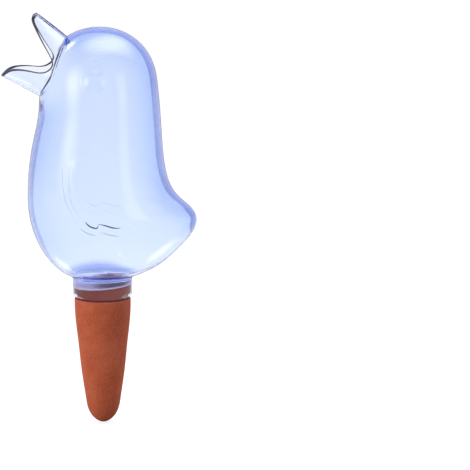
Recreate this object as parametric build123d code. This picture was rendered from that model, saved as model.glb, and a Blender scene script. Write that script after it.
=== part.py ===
from build123d import *
import os
from math import cos, hypot, radians, sin, sqrt

os.makedirs("parts", exist_ok=True)

# A watering globe in the shape of a small bird: a clear blown bottle whose open beak is the
# filling mouth, and whose collar holds a hollow clay cone that goes into the soil.
# Millimetres, Z up. The beak points to -X and the tail to +X. The origin is on the cone's
# axis, at the level of the shoulder that the collar's rim sits over.

# Body of the bird
body_height = 122.3
breast_reach = 36.2
tail_reach = 46.3
body_width = 65.0
body_wall = 1.5

# Collar under the belly, with a rim that is drawn in round the clay
collar_length = 10.6
collar_diameter = 29.1
collar_wall = 1.0
collar_step = 0.5
rim_height = 3.4
rim_inset = 1.2
rim_gap = 0.3

# Beak: a thin tube that leaves the head at a slant and is cut open by the mouth. Towards the
# tips it grows a little taller and much narrower. Its base lies at the head's surface.
beak_lift_angle = 33.4
beak_forward = 22.8
beak_below_crown = 19.4
beak_length = 21.6
beak_root_length = 8.0
beak_base_height = 31.4
beak_base_width = 32.4
beak_tip_height = 35.3
beak_tip_width = 13.0
beak_wall = 0.9

# Eyes: a low round boss on each cheek
eye_forward = 3.5
eye_below_crown = 23.0
eye_diameter = 11.6
eye_rise = 1.2

# Wings: a low raised panel on each side, with three feather tips along its lower edge
wing_rise = 0.6
wing_length = 37.6
wing_height = 38.0
wing_front = 17.6
wing_above_collar = 25.2

# Clay cone and the spigot that stands in the collar
cone_length = 62.7
shoulder_diameter = 27.6
shoulder_round = 1.0
clay_wall = 4.5
spigot_height = 6.0
spigot_tilt_angle = 3.8
spigot_gap = 0.2

# Sealant: fills the gap round the spigot and stands above it to a level top
sealant_height = 9.6

# How far a cutting shape runs past what it cuts
overrun = 5.0

# Handle length that makes a cubic curve follow a quarter circle
quarter_share = 0.5523

# One row for each level section of the body, from the collar up: its height as a share of the
# body's height, its reach forward, reach back and half width as shares of the breast reach,
# the tail reach and half the width, how far ahead of the axis it is widest as a share of the
# breast reach, and how full its rear end is, from pointed to round.
section_shares = [
    (0.0115, 0.494, 0.393, 0.554, 0.000, 0.55),
    (0.036, 0.612, 0.543, 0.705, 0.000, 0.53),
    (0.076, 0.739, 0.700, 0.840, 0.013, 0.48),
    (0.133, 0.859, 0.859, 0.942, 0.032, 0.42),
    (0.198, 0.944, 0.985, 0.985, 0.050, 0.38),
    (0.239, 0.977, 0.998, 0.994, 0.055, 0.38),
    (0.276, 0.994, 0.943, 1.000, 0.055, 0.40),
    (0.313, 1.000, 0.831, 0.994, 0.055, 0.45),
    (0.362, 0.997, 0.733, 0.988, 0.055, 0.53),
    (0.428, 0.983, 0.676, 0.975, 0.055, 0.55),
    (0.542, 0.924, 0.640, 0.942, 0.055, 0.55),
    (0.657, 0.846, 0.621, 0.914, 0.039, 0.55),
    (0.763, 0.828, 0.597, 0.889, 0.028, 0.55),
    (0.853, 0.772, 0.552, 0.812, 0.022, 0.55),
    (0.923, 0.614, 0.446, 0.668, 0.022, 0.55),
    (0.972, 0.414, 0.289, 0.443, 0.022, 0.55),
    (0.992, 0.250, 0.161, 0.255, 0.022, 0.55),
    (1.000, 0.078, 0.026, 0.062, 0.022, 0.55),
]

# Edge of the mouth seen from the side, from the upper tip round to the lower tip: along the
# beak as a share of its length, and across it as a share of half its height at the tips.
lip_shares = [
    (1.010, 1.020),
    (1.030, 0.860),
    (0.900, 0.710),
    (0.750, 0.575),
    (0.500, 0.410),
    (0.280, 0.285),
    (0.100, 0.170),
    (0.171, -0.198),
    (0.445, -0.390),
    (0.650, -0.530),
    (0.820, -0.715),
    (0.905, -1.020),
]

# Outline of a wing seen from the side, as shares of its length and height: the curve over its
# front and back, then the curve of each feather tip, from the rear one forward.
wing_back_shares = [
    (0.043, 0.410),
    (0.008, 0.605),
    (0.008, 0.816),
    (0.082, 0.960),
    (0.229, 1.000),
    (0.628, 0.658),
    (1.000, 0.030),
]
wing_tip_shares = [
    [(1.000, 0.030), (0.900, 0.000), (0.740, 0.040)],
    [(0.707, 0.016), (0.564, 0.030), (0.425, 0.092)],
    [(0.400, 0.050), (0.266, 0.087), (0.136, 0.210), (0.043, 0.410)],
]

# Side of the cone below its shoulder: depth as a share of the cone's length, and radius as a
# share of the shoulder's. The rows of the tip are apart, because the bore doesn't follow them.
cone_side_shares = [(0.13, 0.985), (0.34, 0.885), (0.58, 0.770), (0.80, 0.626)]
cone_tip_shares = [(0.90, 0.526), (0.965, 0.333)]

crown_z = collar_length + body_height
collar_radius = collar_diameter / 2
collar_bore_radius = collar_radius - collar_wall
rim_bore_radius = collar_bore_radius - rim_inset
shoulder_radius = shoulder_diameter / 2
spigot_radius = rim_bore_radius - spigot_gap
clay_bore_radius = shoulder_radius - clay_wall


def grown_outline(levels, reaches, grow):
    """Level and squared reach of each point of an outline moved out square to itself."""
    points = []
    for here in range(len(levels)):
        below = max(here - 1, 0)
        above = min(here + 1, len(levels) - 1)
        rise = levels[above] - levels[below]
        run = reaches[above] - reaches[below]
        slant = hypot(rise, run)
        points.append((levels[here] - grow * run / slant, (reaches[here] + grow * rise / slant) ** 2))
    return points


def reach_at(level, outline):
    """Reach of an outline at a level, between its two nearest points."""
    upper = 1
    while upper < len(outline) - 1 and outline[upper][0] < level:
        upper += 1
    low_level, low_square = outline[upper - 1]
    high_level, high_square = outline[upper]
    share = (level - low_level) / (high_level - low_level)
    return sqrt(low_square + share * (high_square - low_square))


def egg_section(level, front, back, side, widest_x, tail_share):
    """Level closed outline, round in front and more or less pointed at the rear."""
    front_handle = Vector(quarter_share * front, 0, 0)
    back_handle = Vector(quarter_share * back, 0, 0)
    nose = Vector(widest_x - front, 0, level)
    tail = Vector(widest_x + back, 0, level)
    quarters = []
    for half_width in (side, -side):
        flank = Vector(widest_x, half_width, level)
        nose_handle = Vector(0, quarter_share * half_width, 0)
        tail_handle = Vector(0, tail_share * half_width, 0)
        quarters.append(Bezier(nose, nose + nose_handle, flank - front_handle, flank))
        quarters.append(Bezier(flank, flank + back_handle, tail + tail_handle, tail))
    return Wire(quarters)


def body_solid(grow):
    """The bird without its beak, lofted from the collar to the crown, grown all round."""
    foot = collar_radius + collar_step
    rows = [(collar_length, foot, foot, foot, 0, quarter_share)]
    for height, front, back, side, widest, tail_share in section_shares:
        ahead = widest * breast_reach
        level = collar_length + height * body_height
        front_reach = front * breast_reach - ahead
        back_reach = back * tail_reach + ahead
        rows.append((level, front_reach, back_reach, side * body_width / 2, -ahead, tail_share))
    levels, fronts, backs, sides, widests, tail_shares = zip(*rows)
    outlines = [grown_outline(levels, reaches, grow) for reaches in (fronts, backs, sides)]
    sections = []
    for here in range(len(rows)):
        level = sum(outline[here][0] for outline in outlines) / len(outlines)
        reaches = [reach_at(level, outline) for outline in outlines]
        sections.append(egg_section(level, *reaches, widests[here], tail_shares[here]))
    return Solid.make_loft(sections)


def beak_plane(along):
    """Plane square to the beak at a distance along it, with its X up the beak's height."""
    lift = radians(beak_lift_angle)
    base = Vector(-beak_forward, 0, crown_z - beak_below_crown)
    forward = Vector(-cos(lift), 0, sin(lift))
    return Plane(origin=base + forward * along, x_dir=(sin(lift), 0, cos(lift)), z_dir=forward)


def beak_tube(inset):
    """Solid tapered tube of the beak, smaller all round by the inset."""
    ends = []
    for along in (-beak_root_length, beak_length + overrun):
        share = along / beak_length
        height = beak_base_height + share * (beak_tip_height - beak_base_height)
        width = beak_base_width + share * (beak_tip_width - beak_base_width)
        ends.append(beak_plane(along) * Ellipse(height / 2 - inset, width / 2 - inset))
    return loft(ends, ruled=True)


def mouth_cut():
    """Prism that opens the beak between its two lips."""
    half_height = beak_tip_height / 2
    lip = [(across * half_height, along * beak_length) for along, across in lip_shares]
    upper, lower = lip[0], lip[-1]
    far = beak_length + 2 * overrun
    clear = half_height + overrun
    rest = Polyline(lower, (-clear, lower[1]), (-clear, far), (clear, far), (clear, upper[1]), upper)
    base = beak_plane(0)
    side_view = Plane(origin=base.origin, x_dir=base.x_dir, z_dir=-base.y_dir)
    return side_view * extrude(make_face(Spline(*lip).edges() + rest.edges()), amount=clear, both=True)


def eye_boss(body, side):
    """Round cap that stands out of the cheek on one side."""
    eye_radius = eye_diameter / 2
    cap_height = eye_rise + eye_radius**2 / body_width
    ball_radius = (eye_radius**2 + cap_height**2) / (2 * cap_height)
    sight_line = Axis((-eye_forward, 0, crown_z - eye_below_crown), (0, side, 0))
    hits = [point for point, normal in body.find_intersection_points(sight_line)]
    cheek = max(hits, key=lambda point: side * point.Y)
    return Pos(cheek.X, cheek.Y + side * (eye_rise - ball_radius), cheek.Z) * Sphere(ball_radius)


def wing_outline():
    """Wing seen from the side, drawn on the plane between the two flanks."""
    foot_z = collar_length + wing_above_collar

    def place(share_pair):
        along, up = share_pair
        return (along * wing_length - wing_front, up * wing_height + foot_z)

    edges = ShapeList(Spline(*[place(pair) for pair in wing_back_shares]).edges())
    for index, tip in enumerate(wing_tip_shares):
        edges += Spline(*[place(pair) for pair in tip]).edges()
        if index + 1 < len(wing_tip_shares):
            edges += Line(place(tip[-1]), place(wing_tip_shares[index + 1][0])).edges()
    return Plane.XZ * make_face(edges)


def wing_panels():
    """Both wings: a skin just outside the body, kept only inside the wing's outline."""
    return body_solid(wing_rise) & extrude(wing_outline(), amount=body_width, both=True)


def collar_shape(radius, rim_radius, high):
    """Solid inside the collar's outer or inner surface, drawn in at the rim."""
    full_z = rim_gap + rim_height
    drawn_in = Spline((rim_radius, rim_gap), (radius, full_z), tangents=[(rim_inset, rim_inset), (0, 1)])
    rest = Polyline((radius, full_z), (radius, high), (0, high), (0, rim_gap), (rim_radius, rim_gap))
    return revolve(Plane.XZ * make_face(drawn_in.edges() + rest.edges()), Axis.Z)


def reservoir():
    """The whole clear bird: body, beak, eyes, wings and collar as one thin wall."""
    body = body_solid(0)
    outside = body + (beak_tube(0) - mouth_cut()) + wing_panels()
    for side in (1, -1):
        outside += eye_boss(body, side)
    outside += collar_shape(collar_radius, rim_bore_radius + collar_wall, collar_length)
    collar_bore = collar_shape(collar_bore_radius, rim_bore_radius, collar_length + overrun)
    return outside - body_solid(-body_wall) - beak_tube(beak_wall) - collar_bore


def cone_curve(top, shares, inset, bottom):
    """Side of the cone or of its bore, from the top down to a round tip on the axis."""
    side = [(radius * shoulder_radius - inset, -depth * cone_length) for depth, radius in shares]
    return Spline(top, *side, (0, bottom), tangents=[(0, -1), (-1, 0)])


def cone_blank():
    """Cone and spigot without the bore, with the spigot cut a little out of level."""
    shoulder_corner = (shoulder_radius, -shoulder_round)
    shoulder_edge = (shoulder_radius - shoulder_round, 0)
    side = cone_curve(shoulder_corner, cone_side_shares + cone_tip_shares, 0, -cone_length)
    rounding = RadiusArc(shoulder_edge, shoulder_corner, shoulder_round)
    top = spigot_height + overrun
    rest = Polyline((0, -cone_length), (0, top), (spigot_radius, top), (spigot_radius, 0), shoulder_edge)
    blank = revolve(Plane.XZ * make_face(side.edges() + rounding.edges() + rest.edges()), Axis.Z)
    tilt = radians(spigot_tilt_angle)
    cut = Plane(origin=(0, 0, spigot_height), z_dir=(-sin(tilt), 0, cos(tilt)))
    return split(blank, bisect_by=cut, keep=Keep.BOTTOM)


def cone_bore():
    """Space inside the clay, open at the top through the spigot."""
    top = sealant_height + overrun
    bottom = clay_wall - cone_length
    side = cone_curve((clay_bore_radius, 0), cone_side_shares, clay_wall, bottom)
    rest = Polyline((clay_bore_radius, 0), (clay_bore_radius, top), (0, top), (0, bottom))
    return revolve(Plane.XZ * make_face(side.edges() + rest.edges()), Axis.Z)


def clay_cone():
    """Hollow terracotta cone."""
    return cone_blank() - cone_bore()


def sealant_ring():
    """Bead between the spigot and the collar, level on top."""
    return collar_shape(collar_bore_radius, rim_bore_radius, sealant_height) - cone_blank() - cone_bore()


pieces = {
    "reservoir": reservoir(),
    "clay_cone": clay_cone(),
    "sealant_ring": sealant_ring(),
}
for name, piece in pieces.items():
    export_step(piece, f"parts/{name}.step")
    print(name, "volume in cubic centimetres:", round(piece.volume / 1000, 2))
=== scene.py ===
from math import cos, pi, radians, sin, tan

import bpy
import numpy as np
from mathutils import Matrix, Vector


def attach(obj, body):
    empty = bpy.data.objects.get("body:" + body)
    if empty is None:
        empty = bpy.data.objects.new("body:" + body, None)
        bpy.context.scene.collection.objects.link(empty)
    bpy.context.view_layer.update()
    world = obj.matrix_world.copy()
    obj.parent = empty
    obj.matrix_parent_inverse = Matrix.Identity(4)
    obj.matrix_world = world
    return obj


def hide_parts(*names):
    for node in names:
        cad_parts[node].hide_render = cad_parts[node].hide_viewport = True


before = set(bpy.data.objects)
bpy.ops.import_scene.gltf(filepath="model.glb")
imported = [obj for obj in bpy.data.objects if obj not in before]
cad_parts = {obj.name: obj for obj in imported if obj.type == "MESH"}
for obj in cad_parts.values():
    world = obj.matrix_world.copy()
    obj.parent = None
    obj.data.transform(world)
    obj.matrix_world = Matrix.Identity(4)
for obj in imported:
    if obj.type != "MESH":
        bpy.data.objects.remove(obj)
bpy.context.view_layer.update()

# Lengths are in millimetres and go into the meshes in metres. +Z is up, -X is the way the
# beak points, and the origin is on the cone's axis at its shoulder.
MM = 0.001
WHITE = (1, 1, 1, 1)

# Handle length that makes a cubic curve follow a quarter circle
QUARTER_SHARE = 0.5523

# The bird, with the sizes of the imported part
BODY_HEIGHT = 122.3
BREAST_REACH = 36.2
TAIL_REACH = 46.3
BODY_HALF_WIDTH = 32.5
COLLAR_LENGTH = 10.6
COLLAR_RADIUS = 14.55
COLLAR_STEP = 0.5
COLLAR_BORE = 13.6
RIM_GAP = 0.3
RIM_HEIGHT = 3.4
RIM_RADIUS = 13.35
RIM_BORE = 12.4
CROWN_Z = COLLAR_LENGTH + BODY_HEIGHT

# Rise of the point that closes the crown over the body's stated height
TOP_POINT = 0.1

# Wall of the blown body: thin at the sides, below and round the beak, thick over the back, up the
# breast and at the neck
SIDE_WALL = 1.6
LOW_SIDE_WALL = 1.5
BACK_WALL = 2.3
BREAST_WALL = 2.1
FLOOR_WALL = 1.8
UNDER_WALL = 1.0
BEAK_ROOT_WALL = 1.2

# Level sections of the body: height, reach forward, reach back, half width, how far ahead of the
# axis it is widest, and how full its rear end is, from pointed to round. They are shares of the
# body's height, breast reach, tail reach, half width and breast reach, and of half the section's width.
SECTIONS = [
    (0.0115, 0.494, 0.393, 0.554, 0.000, 0.55),
    (0.036, 0.612, 0.543, 0.705, 0.000, 0.53),
    (0.076, 0.739, 0.700, 0.840, 0.013, 0.48),
    (0.133, 0.859, 0.859, 0.942, 0.032, 0.42),
    (0.198, 0.944, 0.985, 0.985, 0.050, 0.38),
    (0.239, 0.977, 0.998, 0.994, 0.055, 0.38),
    (0.276, 0.994, 0.943, 1.000, 0.055, 0.40),
    (0.313, 1.000, 0.831, 0.994, 0.055, 0.45),
    (0.362, 0.997, 0.733, 0.988, 0.055, 0.53),
    (0.428, 0.983, 0.676, 0.975, 0.055, 0.55),
    (0.542, 0.924, 0.640, 0.942, 0.055, 0.55),
    (0.657, 0.846, 0.621, 0.914, 0.039, 0.55),
    (0.763, 0.828, 0.597, 0.889, 0.028, 0.55),
    (0.853, 0.772, 0.552, 0.812, 0.022, 0.55),
    (0.923, 0.614, 0.446, 0.668, 0.022, 0.55),
    (0.972, 0.414, 0.289, 0.443, 0.022, 0.55),
    (0.992, 0.250, 0.161, 0.255, 0.022, 0.55),
]

# Outside of the rim and collar: radius and height
COLLAR_PROFILE = [
    (RIM_RADIUS, RIM_GAP),
    (RIM_RADIUS + 0.75, RIM_GAP + 0.9),
    (COLLAR_RADIUS - 0.08, RIM_GAP + RIM_HEIGHT - 0.9),
    (COLLAR_RADIUS, RIM_GAP + RIM_HEIGHT + 0.6),
    (COLLAR_RADIUS, COLLAR_LENGTH - 2.2),
    (COLLAR_RADIUS + 0.06, COLLAR_LENGTH - 1.1),
    (COLLAR_RADIUS + COLLAR_STEP, COLLAR_LENGTH - 0.25),
    (COLLAR_RADIUS + 1.6, COLLAR_LENGTH + 0.55),
]

# Bore of the rim and collar, from below the rim to the fillet that leads into the belly
SEALANT_TOP = 9.6
BORE_PROFILE = [
    (RIM_BORE, RIM_GAP - 4),
    (RIM_BORE, RIM_GAP),
    (RIM_BORE + 0.75, RIM_GAP + 0.9),
    (COLLAR_BORE - 0.06, RIM_GAP + RIM_HEIGHT - 0.9),
    (COLLAR_BORE, RIM_GAP + RIM_HEIGHT + 0.4),
    (COLLAR_BORE, SEALANT_TOP),
    (COLLAR_BORE + 0.05, COLLAR_LENGTH - 0.2),
    (COLLAR_BORE + 0.35, COLLAR_LENGTH + 0.7),
    (COLLAR_BORE + 1.0, COLLAR_LENGTH + 1.5),
    (COLLAR_BORE + 2.1, COLLAR_LENGTH + 2.15),
]

# Rows of the bore's faces that the sealant touches, and where the belly's inner surface starts
BONDED_ROWS = 5
FILLET_RISE = 2.5
FILLET_REACH = 3.2

# Beak: its axis, and its half height and half width at the base and at the tip
BEAK_LIFT = radians(33.4)
BEAK_FORWARD = np.array((-cos(BEAK_LIFT), 0, sin(BEAK_LIFT)))
BEAK_UP = np.array((sin(BEAK_LIFT), 0, cos(BEAK_LIFT)))
BEAK_BASE = np.array((-22.8, 0, CROWN_Z - 19.4))
BEAK_LENGTH = 21.6
BEAK_BASE_HALVES = (15.7, 16.2)
BEAK_TIP_HALVES = (17.65, 6.5)
BEAK_WALL = 0.95
BEAK_ROOT = -7.5
THROAT_END = 16.0

# The lip seen from the side, from the upper tip through the corner to the lower one: how far along
# the beak's length, and how high as a share of its half height at the tip
LIP = [
    (1.010, 1.020),
    (1.030, 0.860),
    (0.900, 0.710),
    (0.715, 0.575),
    (0.460, 0.410),
    (0.255, 0.285),
    (0.130, 0.170),
    (0.185, -0.198),
    (0.445, -0.390),
    (0.650, -0.530),
    (0.820, -0.715),
    (0.905, -1.020),
]

# Eyes and wings. A wing's outline is in shares of its length and height.
EYE_X = -3.5
EYE_Z = CROWN_Z - 23.0
EYE_RADIUS = 5.8
EYE_RISE = 1.2
WING_RISE = 0.3
WING_FRONT = -17.6
WING_LENGTH = 37.6
WING_HEIGHT = 38.0
WING_FOOT = COLLAR_LENGTH + 25.2
WING_BACK = [
    (0.043, 0.410),
    (0.008, 0.605),
    (0.008, 0.816),
    (0.082, 0.960),
    (0.229, 1.000),
    (0.628, 0.658),
    (1.000, 0.030),
]
WING_TIPS = [
    [(1.000, 0.030), (0.900, 0.000), (0.740, 0.040)],
    [(0.707, 0.016), (0.564, 0.030), (0.425, 0.092)],
    [(0.400, 0.050), (0.266, 0.087), (0.136, 0.210), (0.043, 0.410)],
]

# Width of the bevel along a wing's tips, and along its back: share of the way, and width there
WING_BEVEL = 3.3
WING_BACK_BEVEL = [(0, 3.3), (0.30, 3.3), (0.45, 9.0), (0.9, 9.0), (1, 3.3)]

# How much of the relief outside shows on the wall's inside
INNER_RELIEF = 0.8

# Fine ridges are slighter on one side by this share: on the wings and round the eyes on the bird's
# right side, where they hardly show through the body, and at the beak's base on its left
SLIGHT_SHARE = 0.3

# On each wing: places seen from the side, the ridge's half width, and how dark its painted line is, 0 to 1
RIDGES = [
    ([(-7.9, 43.1), (-6.6, 41.4), (-5.4, 40.55), (-4.0, 40.05), (-2.3, 39.85), (-1.7, 41.4)], 0.34, 1.0),
    ([(-1.9, 41.7), (0.6, 41.4), (3.5, 40.5), (6.3, 39.75), (9.2, 39.7)], 0.30, 1.0),
    ([(-10.4, 39.8), (-8.5, 38.2), (-6.6, 37.1), (-4.7, 36.5), (-2.6, 36.2)], 0.18, 0.6),
    ([(-1.1, 37.8), (0.6, 37.4), (2.5, 36.7), (4.9, 36.1), (8.5, 35.5)], 0.18, 0.6),
    ([(-15.1, 70.0), (-15.5, 62.8), (-15.3, 55.6), (-14.2, 51.0), (-11.8, 46.8), (-8.9, 43.8)], 0.14, 0.2),
    ([(-18.4, 69.5), (-18.7, 62.6), (-18.2, 56.8), (-17.0, 51.4), (-14.2, 46.0), (-10.9, 41.3)], 0.14, 0.15),
]

# Round each eye: radius, half width and depth of the painted dark line, then the angles at which its
# two arcs start and by which they fall short
EYE_RING = (5.3, 0.16, 0.10)
EYE_RING_START = 0.4
EYE_RING_GAP = 0.5

# Ridges along the beak's top, painted dark: angle from its middle plane, start and end along it, half width
BEAK_RIDGES = [(0.03, 0.5, 21.8, 0.30), (0.27, 9.5, 21.0, 0.22)]

# Dashes painted dark where the beak meets the head: places on the left side, and half width on the right
BASE_LINES = [
    ([(-19.3, -13.3, 123.4), (-20.1, -14.3, 121.6), (-20.9, -15.0, 119.8)], 0.18),
    ([(-22.9, -16.5, 112.6), (-24.0, -16.3, 110.4), (-25.6, -15.2, 107.8), (-27.2, -13.4, 105.3),
      (-28.7, -10.2, 102.9)], 0.12),
]

# A ridge thins out towards its ends, to a least half width and a short point
RIDGE_LEAST = 0.02
RIDGE_POINT = 0.05
RIDGE_TAPER = 0.6

# Marks that faces carry through the joins; the line and ridge marks get a painted dark line
PLAIN, LINE, WING_RIDGE = 0, 1, 2
EYE_RIDGE = WING_RIDGE + len(RIDGES)
BONDED = EYE_RIDGE + 1

# Clay cone and sealant
CONE_LENGTH = 62.7
SHOULDER_RADIUS = 13.8
SHOULDER_ROUND = 1.0
CLAY_WALL = 4.5
SPIGOT_RADIUS = 12.15
SPIGOT_HEIGHT = 6.0
SPIGOT_TILT = radians(3.8)
SPIGOT_EDGE = 0.5
SPIGOT_FOOT = 0.25
CLAY_BORE = SHOULDER_RADIUS - CLAY_WALL

# How far the sealant runs into the plastic and the clay that it wets
BOND = 0.03

# Cone's side and tip: depth as a share of its length, and radius as a share of the shoulder's
CONE_SIDE = [(0.13, 0.985), (0.34, 0.885), (0.58, 0.770), (0.80, 0.626)]
CONE_TIP = [(0.90, 0.526), (0.965, 0.333)]

# How deep the painted shade at the wall's edges is, from 0 to 1: over the crown, down the back,
# on the tail, at the breast, where the beak joins the head, on the beak's lower jaw and along its top
CROWN_EDGE = 0.52
BACK_EDGE = 0.36
TAIL_EDGE = 0.55
BREAST_EDGE = 0.33
ROOT_EDGE = 0.0
JAW_EDGE = 0.12
RIDGE_EDGE = 0.5

# Fineness of the meshes: points round the body, the beak, the turned pieces and a ridge
RING_POINTS = 288
BEAK_POINTS = 240
TURNED_POINTS = 220
RIDGE_AROUND = 12

# Step between the body's rows, points along a quarter of a row before they are spaced out evenly,
# rows along the beak's wall, places along a ridge and along a dash
ROW_STEP = 0.6
QUARTER_POINTS = 121
BEAK_ROWS = 40
RIDGE_PLACES = 41
DASH_PLACES = 31

# Points on the lip's line, and rounds in which its reach settles
LIP_POINTS = 400
LIP_ROUNDS = 12

# Square of a distance under which two places count as one
SAME_PLACE = 1e-12

# Angle over which the kinks of a body section are rounded
KINK_ANGLE = 0.0628

# Picture: size and focal length in pixels, and the camera's place and aim in metres
PICTURE_SIZE = 470
FOCAL_LENGTH = 3402
SENSOR_WIDTH = 36.0
CAMERA_PLACE = (0.010, -1.640, 0.3228)
CAMERA_AIM = (0.065, 0, 0.0304)
CLIP_END = 50.0

# Floor: half its width, and how far it lies under the cone's tip, in metres
FLOOR_REACH = 6.0
FLOOR_GAP = 0.0002

# Lamps: azimuth from the front towards the right and elevation in degrees, distance, width and
# height in metres, radiance, how much of each half fades out, and what the lamp is aimed at
MIDDLE = (0, 0, 0.07)
LAMPS = {
    "softbox_left": (-51, 14, 1.2, (0.98, 1.3), 4.9, 1.0, MIDDLE),
    "softbox_right": (46, 10, 1.3, (0.6, 1.2), 1.7, 0.7, MIDDLE),
    "softbox_top": (120, 76, 1.1, (1.5, 2.1), 5.6, 0.9, MIDDLE),
    "softbox_rear": (-130, 43, 1.2, (0.45, 0.45), 12.0, 1.0, MIDDLE),
    "matte_light": (-75, 12, 1.2, (0.7, 1.1), 2.7, 0.6, MIDDLE),
    "glint_rump": (112, -45, 0.1, (0.070, 0.070), 3.0, 1.0, (0.0275, -0.0186, 0.0243)),
    "glint_breast": (-135, -46, 0.1, (0.060, 0.060), 2.6, 1.0, (-0.0187, -0.0195, 0.0198)),
}

# Lamps that show in no gloss, and lamps that show in gloss alone
UNMIRRORED = ("matte_light",)
MIRRORED_ONLY = ("glint_rump", "glint_breast")


def cubic_through(knots, values, slopes=(None, None)):
    """Function for the smooth cubic curve through values at knots, with free or given end slopes."""
    knots, values = np.array(knots, float), np.array(values, float)
    last = len(knots) - 1
    step = np.diff(knots)
    rise = np.diff(values) / step
    matrix = np.zeros((last + 1, last + 1))
    right = np.zeros(last + 1)
    matrix[0, 0] = matrix[last, last] = 1
    for i in range(1, last):
        matrix[i, i - 1:i + 2] = step[i - 1], 2 * (step[i - 1] + step[i]), step[i]
        right[i] = 6 * (rise[i] - rise[i - 1])
    if slopes[0] is not None:
        matrix[0, :2] = 2 * step[0], step[0]
        right[0] = 6 * (rise[0] - slopes[0])
    if slopes[1] is not None:
        matrix[last, -2:] = step[-1], 2 * step[-1]
        right[last] = 6 * (slopes[1] - rise[-1])
    bend = np.linalg.solve(matrix, right)

    def at(where):
        i = np.clip(np.searchsorted(knots, where) - 1, 0, last - 1)
        a = (knots[i + 1] - where) / step[i]
        b = (where - knots[i]) / step[i]
        curve = ((a**3 - a) * bend[i] + (b**3 - b) * bend[i + 1]) * step[i] ** 2 / 6
        return a * values[i] + b * values[i + 1] + curve

    return at


def curve_points(points, count, start=None, end=None):
    """Evenly spaced points on the smooth curve through a few, with optional end directions."""
    points = np.array(points, float)
    knots = np.concatenate(([0], np.cumsum(np.linalg.norm(np.diff(points, axis=0), axis=1))))
    where = np.linspace(0, knots[-1], count)
    columns = []
    for axis in range(points.shape[1]):
        slopes = (None if start is None else start[axis], None if end is None else end[axis])
        columns.append(cubic_through(knots, points[:, axis], slopes)(where))
    return np.stack(columns, axis=1)


def smoothstep(value):
    """0 to 1 with level ends."""
    value = np.clip(value, 0, 1)
    return value * value * (3 - 2 * value)


def between(value, start, end):
    """0 to 1 while a value goes from start to end, level at both."""
    return smoothstep((value - start) / (end - start))


def toward(first, second, share):
    """Value a share of the way from the first to the second."""
    return first + (second - first) * share


def unit(vectors):
    """Vectors of length 1."""
    return vectors / np.linalg.norm(vectors, axis=-1, keepdims=True)


def round_angles(count):
    """Evenly spaced angles all the way round."""
    return np.linspace(0, 2 * pi, count, endpoint=False)


def make_mesh(name, points, faces):
    """Object with a mesh of these points, in millimetres."""
    mesh = bpy.data.meshes.new(name)
    mesh.from_pydata((np.asarray(points) * MM).tolist(), [], faces)
    mesh.validate()
    mesh.update()
    obj = bpy.data.objects.new(name, mesh)
    bpy.context.scene.collection.objects.link(obj)
    return obj


def mark_faces(obj, marks):
    """Gives each face of a mesh a mark that the joins carry through."""
    obj.data.polygons.foreach_set("material_index", marks)


def grid_faces(rows, around, closed_rows=False):
    """Quads between rings of points, each ring one after the other."""
    faces = []
    for row in range(rows if closed_rows else rows - 1):
        here = row * around
        above = (row + 1) % rows * around
        for i in range(around):
            j = (i + 1) % around
            faces.append((here + i, here + j, above + j, above + i))
    return faces


def cap_faces(rings, around):
    """Triangles that close rings of points by two more points, one at either end."""
    low, high = rings * around, rings * around + 1
    top = (rings - 1) * around
    faces = []
    for i in range(around):
        j = (i + 1) % around
        faces.append((j, i, low))
        faces.append((top + i, top + j, high))
    return faces


def egg_ring(front, back, side, widest_x, tail_share):
    """Level ring, round in front and more or less pointed behind, with its kinks smoothed out."""
    k = QUARTER_SHARE
    u = np.linspace(0, 1, QUARTER_POINTS)[:, None]

    def bezier(*p):
        p = [np.array(q, float) for q in p]
        return (1 - u) ** 3 * p[0] + 3 * u * (1 - u) ** 2 * p[1] + 3 * u**2 * (1 - u) * p[2] + u**3 * p[3]

    nose, flank, tail = (widest_x - front, 0), (widest_x, side), (widest_x + back, 0)
    first = bezier(nose, (nose[0], k * side), (widest_x - k * front, side), flank)
    second = bezier(flank, (widest_x + k * back, side), (tail[0], tail_share * side), tail)
    half = np.concatenate((first, second[1:]))
    whole = np.concatenate((half, half[-2::-1] * (1, -1)))
    length = np.concatenate(([0], np.cumsum(np.linalg.norm(np.diff(whole, axis=0), axis=1))))
    even = np.linspace(0, length[-1], RING_POINTS, endpoint=False)
    ring = np.interp(even, length, whole[:, 0]) + 1j * np.interp(even, length, whole[:, 1])
    waves = np.fft.fftfreq(RING_POINTS, 1 / RING_POINTS)
    keep = np.exp(-np.maximum(waves**2 - 1, 0) * KINK_ANGLE**2 / 2)
    ring = np.fft.ifft(np.fft.fft(ring) * keep)
    return ring.real, ring.imag


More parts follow.
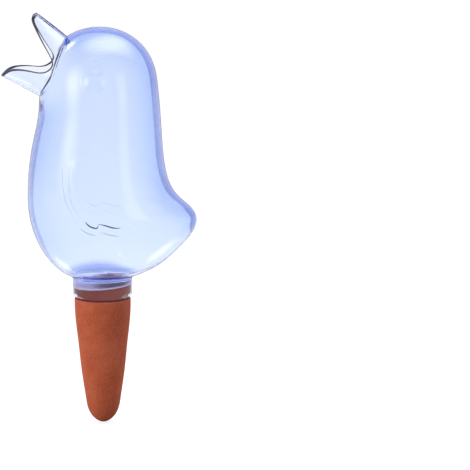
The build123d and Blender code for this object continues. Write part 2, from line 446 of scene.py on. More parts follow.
def body_grid():
    """Rings of the bird's outer surface from the collar's rim to just under the crown."""
    rows = [(z, radius, radius, radius, 0, QUARTER_SHARE) for radius, z in COLLAR_PROFILE]
    for height, front, back, side, widest, tail_share in SECTIONS:
        ahead = widest * BREAST_REACH
        z = COLLAR_LENGTH + height * BODY_HEIGHT
        front_reach = front * BREAST_REACH - ahead
        back_reach = back * TAIL_REACH + ahead
        rows.append((z, front_reach, back_reach, side * BODY_HALF_WIDTH, -ahead, tail_share))
    *_, crown_widest, crown_fullness = SECTIONS[-1]
    rows.append((CROWN_Z + TOP_POINT, 0, 0, 0, -crown_widest * BREAST_REACH, crown_fullness))
    rows = np.array(rows)
    chords = [np.hypot(np.diff(rows[:, 0]), np.diff(rows[:, column])) for column in (1, 2, 3)]
    knots = np.concatenate(([0], np.cumsum(np.mean(chords, axis=0))))
    where = np.linspace(0, knots[-1], int(knots[-1] / ROW_STEP))[:-1]
    ends = [(None, 0)] + [(None, None)] * 5
    values = [cubic_through(knots, rows[:, c], ends[c])(where) for c in range(6)]
    grid = np.zeros((len(where), RING_POINTS, 3))
    for i, (z, front, back, side, widest_x, tail_share) in enumerate(zip(*values)):
        x, y = egg_ring(front, back, side, widest_x, tail_share)
        grid[i, :, 0], grid[i, :, 1], grid[i, :, 2] = x, y, z
    return grid


def grid_normals(grid):
    """Outward direction at each point of a ring grid."""
    around = np.roll(grid, -1, axis=1) - np.roll(grid, 1, axis=1)
    up = np.gradient(grid, axis=0)
    return unit(np.cross(up, around))


def wing_outline():
    """Points round a wing seen from the side, and how wide its bevel is at each."""
    def place(pair):
        return (WING_FRONT + pair[0] * WING_LENGTH, WING_FOOT + pair[1] * WING_HEIGHT)

    back_points, tip_points = 60, 24
    outline = [curve_points([place(p) for p in WING_BACK], back_points)]
    bevel = [np.interp(np.linspace(0, 1, back_points), *zip(*WING_BACK_BEVEL))]
    for tip in WING_TIPS:
        outline.append(curve_points([place(p) for p in tip], tip_points))
        bevel.append(np.full(tip_points, WING_BEVEL))
    return np.concatenate(outline), np.concatenate(bevel)


def wing_lift(x, z):
    """How far the wing stands out at each place seen from the side, from 0 to 1."""
    outline, bevel = wing_outline()
    lift = np.zeros(x.shape)
    low, high = outline.min(axis=0), outline.max(axis=0)
    near = (x > low[0]) & (x < high[0]) & (z > low[1]) & (z < high[1])
    px, pz = x[near], z[near]
    start, end = outline, np.roll(outline, -1, axis=0)
    inside = np.zeros(px.shape, bool)
    best = np.full(px.shape, np.inf)
    width = np.full(px.shape, WING_BEVEL)
    for (ax, az), (bx, bz), wide in zip(start, end, bevel):
        length = (bx - ax) ** 2 + (bz - az) ** 2
        if length < SAME_PLACE:
            continue
        crosses = (az > pz) != (bz > pz)
        cut = np.where(crosses, (bx - ax) * (pz - az) / (bz - az if bz != az else 1) + ax, -np.inf)
        inside ^= crosses & (px < cut)
        share = np.clip(((px - ax) * (bx - ax) + (pz - az) * (bz - az)) / length, 0, 1)
        gap = np.hypot(px - ax - share * (bx - ax), pz - az - share * (bz - az))
        nearer = gap < best
        best = np.where(nearer, gap, best)
        width = np.where(nearer, wide, width)
    ramp = np.clip(best / width, 0, 1)
    lift[near] = np.where(inside, 0.7 * ramp + 0.3 * smoothstep(ramp), 0)
    return lift


def eye_lift(x, z):
    """Height of an eye's boss at places seen from the side."""
    reach = np.hypot(x - EYE_X, z - EYE_Z) / EYE_RADIUS
    return EYE_RISE * np.maximum(1 - reach**2, 0)


def relief(grid, normals):
    """Height of the eyes' bosses and the wings' panels over the plain body."""
    x, z = grid[..., 0], grid[..., 2]
    sideways = between(np.abs(normals[..., 1]), 0.15, 0.45)
    return (eye_lift(x, z) + WING_RISE * wing_lift(x, z)) * sideways


def beak_halves(along):
    """The beak's half height and half width at places along its axis."""
    share = along / BEAK_LENGTH
    return [base + share * (tip - base) for base, tip in zip(BEAK_BASE_HALVES, BEAK_TIP_HALVES)]


def beak_frame(points):
    """Place along and above the beak's axis, and distance from it as a share of the beak's size."""
    away = points - BEAK_BASE
    along = away @ BEAK_FORWARD
    up = away @ BEAK_UP
    tall, wide = beak_halves(along)
    return along, up, np.hypot(up / tall, points[..., 1] / wide)


def wall_depth(grid, normals):
    """Wall of the blown body at each point of its grid."""
    x, y, z = (normals[..., axis] for axis in range(3))
    height = grid[..., 2]
    down = between(z, -0.3, -0.9)
    under_tail = between(x, -0.3, 0.2) * between(z, 0.2, -0.2)
    floor = toward(FLOOR_WALL, UNDER_WALL, np.maximum(under_tail, down))
    breast = toward(floor, BREAST_WALL, between(height, 45, 75))
    middle = toward(breast, BACK_WALL, between(0.6 * x + 0.8 * z, -0.25, 0.45))
    side = toward(LOW_SIDE_WALL, SIDE_WALL, between(height, 30, 90))
    side = toward(side, UNDER_WALL, down)
    wall = toward(side, middle, between(np.abs(y), 1, 0.25))
    along, up, reach = beak_frame(grid)
    near_beak = between(reach, 1.5, 1.05) * between(along, -18, -6) * between(up, 17, 12)
    return toward(wall, BEAK_ROOT_WALL, near_beak)


def closed_shell(name, grid, crown):
    """Closed solid of a ring grid, capped flat below and by a point at the crown."""
    rings, around = grid.shape[:2]
    points = grid.reshape(-1, 3)
    points = np.concatenate((points, [points[:around].mean(axis=0), crown]))
    return make_mesh(name, points, grid_faces(rings, around) + cap_faces(rings, around))


def beak_point(angle, along, inset):
    """Point of the beak's tube, by angle from its top, place along it and depth in its wall."""
    tall, wide = beak_halves(along)
    up = (tall - inset) * np.cos(angle)
    side = (wide - inset) * np.sin(angle)
    along, up, side = (np.asarray(value)[..., None] for value in (along, up, side))
    return BEAK_BASE + BEAK_FORWARD * along + BEAK_UP * up + np.array((0, 1, 0)) * side


def lip_reach(angle):
    """How far the beak reaches to its lip at each angle round it."""
    edge = curve_points(LIP, LIP_POINTS)
    order = np.argsort(edge[:, 1])
    reach = np.full(angle.shape, BEAK_LENGTH / 2)
    for _ in range(LIP_ROUNDS):
        tall = beak_halves(reach)[0]
        across = tall * np.cos(angle) / BEAK_TIP_HALVES[0]
        reach = np.interp(across, edge[order, 1], edge[order, 0]) * BEAK_LENGTH
    return reach


def flank(grid, x, z):
    """Half width of the body's grid at a place seen from the side."""
    levels = grid[:, :, 2].mean(axis=1)
    row = int(np.searchsorted(levels, z)) - 1
    halves = []
    for ring in (grid[row], grid[row + 1]):
        ring = ring[ring[:, 1] >= 0]
        ring = ring[np.argsort(ring[:, 0])]
        halves.append(np.interp(x, ring[:, 0], ring[:, 1]))
    share = (z - levels[row]) / (levels[row + 1] - levels[row])
    return toward(*halves, share)


def thread(spine, out, half_width, mark):
    """Fine round ridge along a line, running out to a point at both ends."""
    count = len(spine)
    along = unit(np.gradient(spine, axis=0))
    out = unit(out - along * np.sum(along * out, axis=1, keepdims=True))
    across = np.cross(along, out)
    swell = np.maximum(np.sin(np.linspace(0, pi, count)), 0.0) ** RIDGE_TAPER
    size = half_width * swell + RIDGE_LEAST
    angle = round_angles(RIDGE_AROUND)[:, None]
    rings = [s + r * (np.cos(angle) * a + np.sin(angle) * o)
             for s, r, a, o in zip(spine, size, across, out)]
    tips = spine[[0, -1]] + along[[0, -1]] * ((-RIDGE_POINT,), (RIDGE_POINT,))
    faces = grid_faces(count, RIDGE_AROUND) + cap_faces(count, RIDGE_AROUND)
    obj = make_mesh("ridge", np.concatenate([*rings, tips]), faces)
    mark_faces(obj, [mark] * len(obj.data.polygons))
    return obj


def ridges(grid):
    """Fine ridges on both wings, round the eyes, along the beak's top and at its base."""
    made = []
    for side, share in ((-1, 1.0), (1, SLIGHT_SHARE)):
        sideways = np.tile((0.0, side, 0.0), (RIDGE_PLACES, 1))

        for mark, (points, half_width, _) in enumerate(RIDGES, start=WING_RIDGE):
            path = curve_points(points, RIDGE_PLACES)
            lift = WING_RISE * wing_lift(path[:, 0], path[:, 1])
            spine = np.array([(x, side * (flank(grid, x, z) + rise), z)
                              for (x, z), rise in zip(path, lift)])
            made.append(thread(spine, sideways, half_width * share, mark))

        radius, half_width, _ = EYE_RING
        for first in (EYE_RING_START, EYE_RING_START + pi):
            turn = np.linspace(first, first + pi - EYE_RING_GAP, RIDGE_PLACES)
            places = zip(EYE_X + radius * np.cos(turn), EYE_Z + radius * np.sin(turn))
            spine = np.array([(x, side * (flank(grid, x, z) + eye_lift(x, z)), z) for x, z in places])
            made.append(thread(spine, sideways, half_width * share, EYE_RIDGE))

        for angle, start, end, half_width in BEAK_RIDGES:
            turn = np.full(RIDGE_PLACES, side * angle)
            along = np.linspace(start, end, RIDGE_PLACES)
            spine = beak_point(turn, along, 0)
            made.append(thread(spine, spine - beak_point(turn, along, 1), half_width, LINE))

        # The full dashes come on the right side, and the slighter ones on the left
        for points, half_width in BASE_LINES:
            spine = curve_points([(x, y * side, z) for x, y, z in points], DASH_PLACES)
            out = np.tile((-0.5, side, 0.2), (DASH_PLACES, 1))
            made.append(thread(spine, out, half_width * share, LINE))
    return made


def painted_edge_shade(points):
    """How deep the painted shade at the wall's edges is at each point."""
    x, y, height = points.T
    along, up, reach = beak_frame(points)
    on_beak = toward(JAW_EDGE, RIDGE_EDGE, between(up, 6, 12))
    back = toward(BACK_EDGE, CROWN_EDGE, between(height, 95, 115))
    back = toward(back, TAIL_EDGE, between(x, 24, 32))
    body = toward(BREAST_EDGE, back, between(x + 0.6 * height, 48, 68))
    at_neck = between(np.hypot(x, y), 26, 22) * between(height, COLLAR_LENGTH + 10, COLLAR_LENGTH + 6)
    under_tail = between(height, 34, 24) * between(x, 4, 14)
    body = body * (1 - 0.6 * at_neck) * (1 - 0.1 * under_tail)
    root = between(reach, 1.5, 1.1) * between(along, -14, -8) * between(up, 17, 12)
    body = toward(body, ROOT_EDGE, root)
    return toward(body, on_beak, between(along, -1, 1) * (reach < 1.12))


def neck_blue(points):
    """Where the tint gathers in the thick wall over the neck, from 0 to 1."""
    x, y, height = points.T
    spread = np.hypot(np.where(x > 0, 1.3, 1.12) * x, y)
    pool = between(spread, 23, 18) * between(height, COLLAR_LENGTH + 8, COLLAR_LENGTH + 4)
    return pool * between(height, SEALANT_TOP, SEALANT_TOP + 0.5)


def keep_depths(obj):
    """Turns the marks left by the joins, and the places of the points, into attributes."""
    mesh = obj.data
    marks = np.zeros(len(mesh.polygons), int)
    mesh.polygons.foreach_get("material_index", marks)
    mark_faces(obj, np.full(len(marks), PLAIN))
    levels = np.zeros(BONDED + 1)
    levels[LINE] = 1.0
    levels[WING_RIDGE:EYE_RIDGE] = [depth for _, _, depth in RIDGES]
    levels[EYE_RIDGE] = EYE_RING[2]
    points = np.zeros(3 * len(mesh.vertices))
    mesh.vertices.foreach_get("co", points)
    points = points.reshape(-1, 3) / MM
    for name, domain, values in [
        ("painted_line_depth", "FACE", levels[marks]),
        ("bonded", "FACE", (marks == BONDED).astype(float)),
        ("painted_edge_shade_depth", "POINT", painted_edge_shade(points)),
        ("neck_depth", "POINT", neck_blue(points)),
    ]:
        mesh.attributes.new(name, "FLOAT", domain).data.foreach_set("value", values)


def beak_shell():
    """Closed wall of the beak with rounded lips, its root inside the head."""
    angle = round_angles(BEAK_POINTS)
    lip = lip_reach(angle)
    half = BEAK_WALL / 2
    side = [BEAK_ROOT + share * (lip - half - BEAK_ROOT) for share in np.linspace(0, 1, BEAK_ROWS)]
    rows = [(along, 0) for along in side]
    for turn in np.linspace(0, pi, 9)[1:-1]:
        rows.append((lip - half + half * sin(turn), half - half * cos(turn)))
    rows += [(along, BEAK_WALL) for along in side[::-1]]
    points = np.concatenate([beak_point(angle, along, inset) for along, inset in rows])
    beak = make_mesh("beak", points, grid_faces(len(rows), BEAK_POINTS, closed_rows=True))
    # The lip's faces get a painted dark line
    lip_rows = range(BEAK_ROWS - 2, len(rows) - BEAK_ROWS + 2)
    faces = range(len(beak.data.polygons))
    mark_faces(beak, [LINE if face // BEAK_POINTS in lip_rows else PLAIN for face in faces])
    return beak


def throat_core():
    """Solid that opens the head into the beak, its side hidden inside the beak's wall."""
    angle = round_angles(BEAK_POINTS)
    ends = [beak_point(angle, along, BEAK_WALL / 2) for along in (BEAK_ROOT, THROAT_END)]
    faces = grid_faces(2, BEAK_POINTS)
    faces.append(tuple(range(BEAK_POINTS))[::-1])
    faces.append(tuple(range(BEAK_POINTS, 2 * BEAK_POINTS)))
    return make_mesh("core", np.concatenate(ends), faces)


def outward(obj):
    """Turns a closed mesh's faces to the outside."""
    mesh = obj.data
    mesh.calc_loop_triangles()
    points = np.array([v.co for v in mesh.vertices])
    corners = np.array([t.vertices for t in mesh.loop_triangles])
    a, b, c = points[corners[:, 0]], points[corners[:, 1]], points[corners[:, 2]]
    if np.einsum("ij,ij->i", a, np.cross(b, c)).sum() < 0:
        mesh.flip_normals()
    return obj


def combine(target, tool, operation):
    """Joins the tool to the target or cuts it out of it, and removes it."""
    step = target.modifiers.new("step", "BOOLEAN")
    step.operation = operation
    step.solver = "MANIFOLD"
    step.object = outward(tool)
    bpy.context.view_layer.update()
    graph = bpy.context.evaluated_depsgraph_get()
    made = bpy.data.meshes.new_from_object(target.evaluated_get(graph))
    target.modifiers.clear()
    target.data = made
    bpy.data.objects.remove(tool)


def shade(obj, crease):
    """Smooth faces with sharp edges where they turn more than the crease angle."""
    obj.data.polygons.foreach_set("use_smooth", [True] * len(obj.data.polygons))
    obj.data.set_sharp_from_angle(angle=radians(crease))
    return obj


def bore_rings(turn):
    """Rings of the collar's bore, at these angles round the axis."""
    across, along = np.cos(turn), np.sin(turn)
    rings = [(radius * across, radius * along, np.full(turn.shape, z)) for radius, z in BORE_PROFILE]
    return np.stack(rings).transpose(0, 2, 1)


def reservoir_piece():
    """The clear bird: one wall with the collar below and the open beak in front."""
    grid = body_grid()
    normals = grid_normals(grid)
    lift = relief(grid, normals)[..., None]
    centre_x = grid[-1, :, 0].mean()
    top = CROWN_Z + TOP_POINT
    hull = outward(closed_shell("reservoir_shell", grid + normals * lift, (centre_x, 0, top)))

    inner = grid - normals * wall_depth(grid, normals)[..., None] + normals * lift * INNER_RELIEF
    lowest = inner[:, :, 2].min(axis=1)
    narrowest = np.hypot(inner[..., 0], inner[..., 1]).min(axis=1)
    clear_of_neck = (lowest > COLLAR_LENGTH + FILLET_RISE) & (narrowest > COLLAR_BORE + FILLET_REACH)
    first = int(np.argmax(clear_of_neck))
    bore = bore_rings(np.arctan2(inner[first, :, 1], inner[first, :, 0]))
    inner = np.concatenate((bore, inner[first:]))
    void = closed_shell("void", inner, (centre_x, 0, top - BACK_WALL))
    faces = range(len(void.data.polygons))
    mark_faces(void, [BONDED if face < BONDED_ROWS * RING_POINTS else PLAIN for face in faces])

    combine(hull, throat_core(), "DIFFERENCE")
    combine(hull, beak_shell(), "UNION")
    for fine in ridges(grid):
        combine(hull, fine, "UNION")
    combine(hull, void, "DIFFERENCE")
    keep_depths(hull)
    return shade(hull, 28)


def turned(name, profile, ends=()):
    """Solid turned round the axis from radius, height and share of the spigot's tilt.

    It is closed by two end points on the axis, or else its profile closes on itself.
    """
    radius, z, tilted = np.array(profile).T
    angle = round_angles(TURNED_POINTS)
    x = radius[:, None] * np.cos(angle)
    y = radius[:, None] * np.sin(angle)
    height = z[:, None] + tilted[:, None] * x * tan(SPIGOT_TILT)
    points = np.stack((x, y, height), axis=2).reshape(-1, 3)
    faces = grid_faces(len(profile), TURNED_POINTS, closed_rows=not ends)
    if ends:
        points = np.concatenate((points, ends))
        faces += cap_faces(len(profile), TURNED_POINTS)
    return outward(make_mesh(name, points, faces))


def arc(centre, radius, start, end, count, tilted):
    """Rounded edge of a turned profile, from one angle to another."""
    turns = np.linspace(start, end, count)
    return [(centre[0] + radius * cos(turn), centre[1] + radius * sin(turn), tilted) for turn in turns]


def cone_profile(inset, top):
    """Radius and height down the cone's side or its bore, ending on the axis."""
    shares = CONE_SIDE + (CONE_TIP if inset == 0 else [])
    side = [(radius * SHOULDER_RADIUS - inset, -depth * CONE_LENGTH) for depth, radius in shares]
    bottom = (0, inset - CONE_LENGTH)
    return curve_points([top, *side, bottom], 130, start=(0, -1), end=(-1, 0))


def clay_piece():
    """Terracotta cone: side, rounded shoulder, spigot with a tilted top, and blind bore."""
    outside = cone_profile(0, (SHOULDER_RADIUS, -SHOULDER_ROUND))
    bore = cone_profile(CLAY_WALL, (CLAY_BORE, 0))
    corner = (SHOULDER_RADIUS - SHOULDER_ROUND, -SHOULDER_ROUND)
    top = SPIGOT_HEIGHT - SPIGOT_EDGE
    profile = [(r, z, 0) for r, z in outside[-2::-1]]
    profile += arc(corner, SHOULDER_ROUND, 0, pi / 2, 7, 0)[1:]
    profile += [(SPIGOT_RADIUS + SPIGOT_FOOT, 0, 0), (SPIGOT_RADIUS, SPIGOT_FOOT, 0)]
    profile += [(SPIGOT_RADIUS, z, z / SPIGOT_HEIGHT) for z in np.linspace(0.8, top, 12)]
    profile += arc((SPIGOT_RADIUS - SPIGOT_EDGE, top), SPIGOT_EDGE, 0, pi / 2, 5, 1)[1:]
    profile += arc((CLAY_BORE + SPIGOT_EDGE, top), SPIGOT_EDGE, pi / 2, pi, 5, 1)
    profile += [(CLAY_BORE, z, z / SPIGOT_HEIGHT) for z in np.linspace(top - 0.6, 0.8, 8)]
    profile += [(r, z, 0) for r, z in bore[:-1]]
    ends = [(0, 0, -CONE_LENGTH), (0, 0, CLAY_WALL - CONE_LENGTH)]
    return shade(turned("terracotta_cone", profile, ends), 50)


def sealant_piece():
    """Bead between spigot and collar, with a level top that climbs a little at the walls."""
    inner = CLAY_BORE + 0.02
    outer = COLLAR_BORE + BOND
    spigot = SPIGOT_RADIUS - BOND
    rim_top = RIM_GAP + RIM_HEIGHT
    spigot_top = SPIGOT_HEIGHT - BOND
    profile = [
        (spigot, 0.5, 0),
        (RIM_BORE + BOND, 0.42, 0),
        (RIM_BORE + 0.7, RIM_GAP + 0.95, 0),
        (outer - 0.08, rim_top - 0.9, 0),
        (outer, rim_top + 0.5, 0),
        (outer, SEALANT_TOP - 1.0, 0),
        (outer, SEALANT_TOP, 0),
        (outer - 0.35, SEALANT_TOP - 0.35, 0),
        (outer - 1.2, SEALANT_TOP - 0.6, 0),
        (0.5 * (inner + outer), SEALANT_TOP - 0.65, 0),
        (inner + 0.7, SEALANT_TOP - 0.7, 0),
        (inner + 0.1, SEALANT_TOP - 1.1, 0),
        (inner, SEALANT_TOP - 1.8, 0),
        (inner, spigot_top, 1),
        (inner + 0.45, spigot_top, 1),
        (SPIGOT_RADIUS - 0.4, spigot_top, 1),
        (spigot - 0.1, SPIGOT_HEIGHT - 0.05, 1),
        (spigot, SPIGOT_HEIGHT - 0.5, 1),
    ]
    return shade(turned("sealant_bead", profile), 40)


class Nodes:
    """Short way to add and join the nodes of a material, lamp or world."""

    def __init__(self, tree):
        self.tree = tree
        tree.nodes.clear()

    def put(self, socket, value):
        """Feeds a socket from another one, or sets it to a plain value."""
        if isinstance(value, bpy.types.NodeSocket):
            self.tree.links.new(value, socket)
        else:
            socket.default_value = value

    def add(self, kind, **inputs):
        """Node of a kind with its inputs set, their names written with _ for a space."""
        node = self.tree.nodes.new(kind)
        for name, value in inputs.items():
            self.put(node.inputs[name.replace("_", " ")], value)
        return node

    def math(self, operation, *values):
        """Result of a sum or the like of sockets and plain numbers."""
        node = self.add("ShaderNodeMath")
        node.operation = operation
        for socket, value in zip(node.inputs, values):
            self.put(socket, value)
        return node.outputs[0]

    def fade(self, value, start, end, low=0.0, high=1.0):
        """Smooth change from low to high while a socket's value goes from start to end."""
        node = self.add("ShaderNodeMapRange", Value=value, From_Min=start, From_Max=end,
                        To_Min=low, To_Max=high)
        node.interpolation_type = "SMOOTHSTEP"
        return node.outputs[0]

    def blend(self, share, first, second):
        """Colour between two, each a socket or a plain colour."""
        node = self.add("ShaderNodeMix")
        node.data_type = "RGBA"
        for place, value in ((0, share), (6, first), (7, second)):
            self.put(node.inputs[place], value)
        return node.outputs[2]

    def mixed(self, share, first, second):
        """Shader between two."""
        node = self.add("ShaderNodeMixShader", Fac=share)
        self.put(node.inputs[1], first)
        self.put(node.inputs[2], second)
        return node.outputs[0]

    def noise(self, where, scale, detail, roughness=0.5):
        """Cloudy number from 0 to 1."""
        node = self.add("ShaderNodeTexNoise", Vector=where, Scale=scale, Detail=detail, Roughness=roughness)
        return node.outputs["Fac"]

    def attribute(self, name):
        """Number that one of the mesh's attributes holds."""
        node = self.add("ShaderNodeAttribute")
        node.attribute_name = name
        return node.outputs["Fac"]

    def clear_in_shadow(self, shader, colour):
        """The shader, but tinted clear where it stands between a lamp and what that lights."""
        clear = self.add("ShaderNodeBsdfTransparent", Color=colour)
        shadow = self.add("ShaderNodeLightPath").outputs["Is Shadow Ray"]
        return self.mixed(shadow, shader, clear.outputs[0])

    def seen_background(self):
        """1 for what the camera sees, also mirrored or through clear pieces, otherwise 0."""
        path = self.add("ShaderNodeLightPath").outputs
        seen = self.math("MAXIMUM", path["Is Camera Ray"], path["Is Glossy Ray"])
        return self.math("MAXIMUM", seen, path["Is Transmission Ray"])


def new_material(name):
    """Material and its empty node tree."""
    material = bpy.data.materials.new(name)
    material.use_nodes = True
    return material, Nodes(material.node_tree)


def clear_plastic():
    """Pale blue clear plastic: tint from the depth of the wall, faint flow waves from moulding.

    At the wall's edges, where rays inside it are turned back, a deep blue is painted in as shade,
    deepest over the crown, back and tail. Its outline is a thin painted dark line, and dark lines are
    painted along the lips, the ridges and the dashes. Where the sealant wets the bore, the surface
    between them hardly shows.
    """
    material, nodes = new_material("clear_blue_plastic")
    where = nodes.add("ShaderNodeTexCoord").outputs["Object"]
    waves = nodes.noise(where, 55.0, 1.5)
    bump = nodes.add("ShaderNodeBump", Height=waves, Strength=0.02, Distance=0.002)
    mottle = nodes.noise(where, 240.0, 3.0)
    rough = nodes.fade(mottle, 0.3, 0.8, 0.0, 0.02)
    tone = nodes.blend(mottle, (0.97, 0.98, 1.0, 1), WHITE)
    inside = nodes.add("ShaderNodeNewGeometry").outputs["Backfacing"]
    outer = nodes.math("SUBTRACT", 1.0, inside)
    # Painted dark lines on the outer faces of the lips, ridges, eye rings and dashes
    line = nodes.math("MULTIPLY", nodes.attribute("painted_line_depth"), outer)
    colour = nodes.blend(line, tone, (0.001, 0.001, 0.006, 1))
    colour = nodes.blend(nodes.attribute("neck_depth"), colour, (0.42, 0.49, 0.82, 1))
    glass = nodes.add("ShaderNodeBsdfPrincipled", Base_Color=colour, Roughness=rough, IOR=1.49,
                      Transmission_Weight=1.0, Normal=bump.outputs[0])

    # Painted shade: where a ray inside the wall is turned back at its inner face, a deep blue diffuse is
    # mixed in, as deep as the edge attribute says
    grazing = nodes.add("ShaderNodeLayerWeight", Blend=0.5).outputs["Facing"]
    trapped = nodes.math("MULTIPLY", nodes.fade(grazing, 0.244, 0.257), inside)
    painted_edge_diffuse = nodes.add("ShaderNodeBsdfDiffuse", Color=(0.10, 0.16, 0.55, 1))
    edge = nodes.math("MULTIPLY", trapped, nodes.attribute("painted_edge_shade_depth"))
    wall = nodes.mixed(edge, glass.outputs[0], painted_edge_diffuse.outputs[0])
    # Painted shade: a dusky diffuse mixed in where the outer surface turns away draws a thin dark outline
    painted_outline_diffuse = nodes.add("ShaderNodeBsdfDiffuse", Color=(0.10, 0.11, 0.24, 1))
    outline = nodes.math("MULTIPLY", nodes.fade(grazing, 0.80, 0.92, 0.0, 0.6), outer)
    wall = nodes.mixed(outline, wall, painted_outline_diffuse.outputs[0])
    through = nodes.add("ShaderNodeBsdfTransparent", Color=WHITE)
    wetted = nodes.math("MULTIPLY", nodes.attribute("bonded"), nodes.math("SUBTRACT", 1.0, trapped))
    wall = nodes.mixed(wetted, wall, through.outputs[0])

    tint = nodes.add("ShaderNodeVolumeAbsorption", Color=(0.06, 0.38, 0.97, 1), Density=155.0)
    surface = nodes.clear_in_shadow(wall, (0.90, 0.94, 1.0, 1))
    nodes.add("ShaderNodeOutputMaterial", Surface=surface, Volume=tint.outputs[0])
    return material


def terracotta():
    """Unglazed fired clay: mottled orange brown, fine grain, painted shade in the crease, soaked spigot."""
    material, nodes = new_material("terracotta")
    where = nodes.add("ShaderNodeTexCoord").outputs["Object"]
    clouds = nodes.noise(where, 70.0, 5.0, 0.6)
    grain = nodes.noise(where, 900.0, 4.0, 0.7)
    fired = nodes.blend(nodes.fade(clouds, 0.32, 0.68), (0.53, 0.094, 0.034, 1), (0.675, 0.139, 0.056, 1))
    speckled = nodes.blend(nodes.fade(grain, 0.35, 0.75, 0.0, 0.38), fired, (0.70, 0.24, 0.14, 1))
    height = nodes.add("ShaderNodeSeparateXYZ", Vector=where).outputs["Z"]
    on_spigot = nodes.fade(height, 0.3 * MM, 0.9 * MM)
    below_spigot = nodes.fade(height, 0.3 * MM, 0.9 * MM, 1.0, 0.0)
    stain = nodes.math("MULTIPLY", on_spigot, nodes.fade(clouds, 0.30, 0.70, 0.95, 0.75))
    soaked = nodes.blend(stain, speckled, (0.27, 0.008, 0.001, 1))
    # Painted shade: near black in the crease round the spigot's root, under the collar's rim
    crease = nodes.math("MULTIPLY", nodes.fade(height, -0.5 * MM, -0.1 * MM), below_spigot)
    colour = nodes.blend(nodes.math("MULTIPLY", crease, 0.85), soaked, (0.06, 0.012, 0.008, 1))
    bump = nodes.add("ShaderNodeBump", Height=grain, Strength=0.35, Distance=0.0004)
    clay = nodes.add("ShaderNodeBsdfPrincipled", Base_Color=colour, Roughness=0.85, Specular_IOR_Level=0.25,
                     Normal=bump.outputs[0])
    nodes.add("ShaderNodeOutputMaterial", Surface=clay.outputs[0])
    return material


def sealant():
    """Silicone: clear in the thin gap round the spigot, milky where it stands above it.

    It is darker in a band from the middle towards the tail, lighter again at the tail's end, and has a
    painted white highlight along its lower brim and its top.
    """
    material, nodes = new_material("milky_sealant")
    where = nodes.add("ShaderNodeTexCoord").outputs["Object"]
    place = nodes.add("ShaderNodeSeparateXYZ", Vector=where).outputs
    cloud = nodes.noise(where, 320.0, 3.0)
    tone = nodes.blend(cloud, (0.76, 0.72, 0.90, 1), (0.95, 0.92, 1.0, 1))
    # Darker in a band from the middle towards the tail, lighter again at the tail's end
    darkens_to_tail = nodes.fade(place["X"], -7 * MM, 3 * MM, 0.0, 0.9)
    lightens_at_tail_end = nodes.fade(place["X"], 9 * MM, 13 * MM, 1.0, 0.3)
    tone = nodes.blend(nodes.math("MULTIPLY", darkens_to_tail, lightens_at_tail_end), tone, (0.20, 0.14, 0.26, 1))
    spigot_top = nodes.math("MULTIPLY_ADD", place["X"], tan(SPIGOT_TILT), SPIGOT_HEIGHT * MM)
    above = nodes.math("SUBTRACT", place["Z"], spigot_top)
    milky = nodes.fade(above, -0.2 * MM, 0.2 * MM)
    colour = nodes.blend(milky, (0.96, 0.90, 0.84, 1), tone)
    # Painted highlight: white along the lower brim, just above the spigot, and along the top
    painted_brim_highlight = nodes.math("MULTIPLY", milky, nodes.fade(above, 0.4 * MM, 0.9 * MM, 1.0, 0.0))
    top = nodes.fade(place["Z"], (SEALANT_TOP - 0.45) * MM, (SEALANT_TOP - 0.15) * MM)
    white = nodes.math("MAXIMUM", painted_brim_highlight, nodes.math("MULTIPLY", top, 0.8))
    colour = nodes.blend(white, colour, (1.0, 0.97, 1.0, 1))
    cloudy = nodes.fade(above, -0.2 * MM, 0.2 * MM, 1.0, 0.72)
    clearness = nodes.math("MULTIPLY", cloudy, nodes.fade(white, 0.0, 1.0, 1.0, 0.45))
    bump = nodes.add("ShaderNodeBump", Height=cloud, Strength=0.15, Distance=0.0005)
    silicone = nodes.add("ShaderNodeBsdfPrincipled", Base_Color=colour, Roughness=0.12, IOR=1.04,
                         Transmission_Weight=clearness, Normal=bump.outputs[0])
    surface = nodes.clear_in_shadow(silicone.outputs[0], (0.90, 0.90, 0.93, 1))
    nodes.add("ShaderNodeOutputMaterial", Surface=surface)
    return material


def floor_material():
    """Pale floor that shows white but keeps a soft shadow."""
    material, nodes = new_material("pale_floor")
    where = nodes.add("ShaderNodeTexCoord").outputs["Object"]
    distance = nodes.add("ShaderNodeVectorMath", Vector=where)
    distance.operation = "LENGTH"
    bright = nodes.fade(distance.outputs["Value"], 0.6, 2.0, 0.85, 0.905)
    strength = nodes.math("MULTIPLY", nodes.seen_background(), bright)
    glow = nodes.add("ShaderNodeEmission", Color=WHITE, Strength=strength)
    matte = nodes.add("ShaderNodeBsdfDiffuse", Color=(0.25, 0.25, 0.25, 1))
    both = nodes.add("ShaderNodeAddShader")
    nodes.put(both.inputs[0], glow.outputs[0])
    nodes.put(both.inputs[1], matte.outputs[0])
    nodes.add("ShaderNodeOutputMaterial", Surface=both.outputs[0])
    return material


def make_floor():
    """Wide floor just under the cone's tip."""
    z = -CONE_LENGTH * MM - FLOOR_GAP
    corners = [(x * FLOOR_REACH, y * FLOOR_REACH, z) for x, y in ((-1, -1), (1, -1), (1, 1), (-1, 1))]
    mesh = bpy.data.meshes.new("floor")
    mesh.from_pydata(corners, [], [(0, 1, 2, 3)])
    floor = bpy.data.objects.new("floor", mesh)
    floor.data.materials.append(floor_material())
    bpy.context.scene.collection.objects.link(floor)


def set_world():
    """White behind and around for what the eye and the glass see, a plain soft light otherwise."""
    world = bpy.data.worlds.new("studio")
    world.use_nodes = True
    bpy.context.scene.world = world
    nodes = Nodes(world.node_tree)
    plain = nodes.add("ShaderNodeBackground", Color=WHITE, Strength=0.27)
    white = nodes.add("ShaderNodeBackground", Color=WHITE, Strength=1.0)
    both = nodes.mixed(nodes.seen_background(), plain.outputs[0], white.outputs[0])
    nodes.add("ShaderNodeOutputWorld", Surface=both)


def stand(obj, place, aim):
    """Puts a lamp or camera at its place, facing what it is aimed at."""
    obj.location = place
    obj.rotation_euler = (place - aim).to_track_quat("Z", "Y").to_euler()
    bpy.context.scene.collection.objects.link(obj)


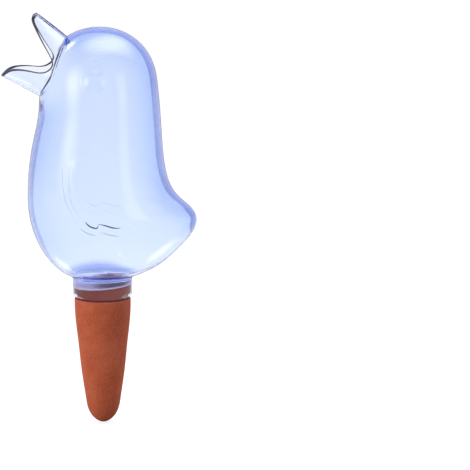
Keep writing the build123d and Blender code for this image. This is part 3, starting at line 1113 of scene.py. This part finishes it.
def softbox(name, azimuth, elevation, distance, size, radiance, soft, aim):
    """Area lamp with faded edges, its azimuth counted from the front towards the right."""
    width, height = size
    light = bpy.data.lights.new(name, "AREA")
    light.shape = "RECTANGLE"
    light.size, light.size_y = width, height
    light.energy = radiance * pi * width * height
    light.use_nodes = True
    nodes = Nodes(light.node_tree)
    place = nodes.add("ShaderNodeNewGeometry").outputs["Parametric"]
    across = nodes.add("ShaderNodeSeparateXYZ", Vector=place).outputs
    fades = []
    for axis in ("X", "Y"):
        from_middle = nodes.math("ABSOLUTE", nodes.math("SUBTRACT", across[axis], 0.5))
        fades.append(nodes.fade(from_middle, 0.5 - 0.5 * soft, 0.5, 1.0, 0.0))
    glow = nodes.add("ShaderNodeEmission", Strength=nodes.math("MULTIPLY", fades[0], fades[1]))
    nodes.add("ShaderNodeOutputLight", Surface=glow.outputs[0])
    lamp = bpy.data.objects.new(name, light)
    az, el = radians(azimuth), radians(elevation)
    aim = Vector(aim)
    stand(lamp, Vector((sin(az) * cos(el), -cos(az) * cos(el), sin(el))) * distance + aim, aim)
    lamp.visible_camera = False
    lamp.visible_transmission = False
    lamp.visible_glossy = name not in UNMIRRORED
    lamp.visible_diffuse = name not in MIRRORED_ONLY


def set_camera():
    """Long lens in front of the bird's side, panned so that the bird stands at the left."""
    data = bpy.data.cameras.new("camera")
    data.sensor_width = SENSOR_WIDTH
    data.lens = FOCAL_LENGTH / PICTURE_SIZE * SENSOR_WIDTH
    data.clip_end = CLIP_END
    camera = bpy.data.objects.new("camera", data)
    stand(camera, Vector(CAMERA_PLACE), Vector(CAMERA_AIM))
    bpy.context.scene.camera = camera


def dress(obj, material, node):
    """Gives a piece its material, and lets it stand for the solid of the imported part."""
    obj.data.materials.clear()
    obj.data.materials.append(material)
    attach(obj, "root")
    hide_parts(node)


dress(reservoir_piece(), clear_plastic(), "reservoir")
dress(clay_piece(), terracotta(), "clay_cone")
dress(sealant_piece(), sealant(), "sealant_ring")

make_floor()
set_world()
for name, settings in LAMPS.items():
    softbox(name, *settings)
set_camera()

view = bpy.context.scene.view_settings
view.view_transform = "Standard"
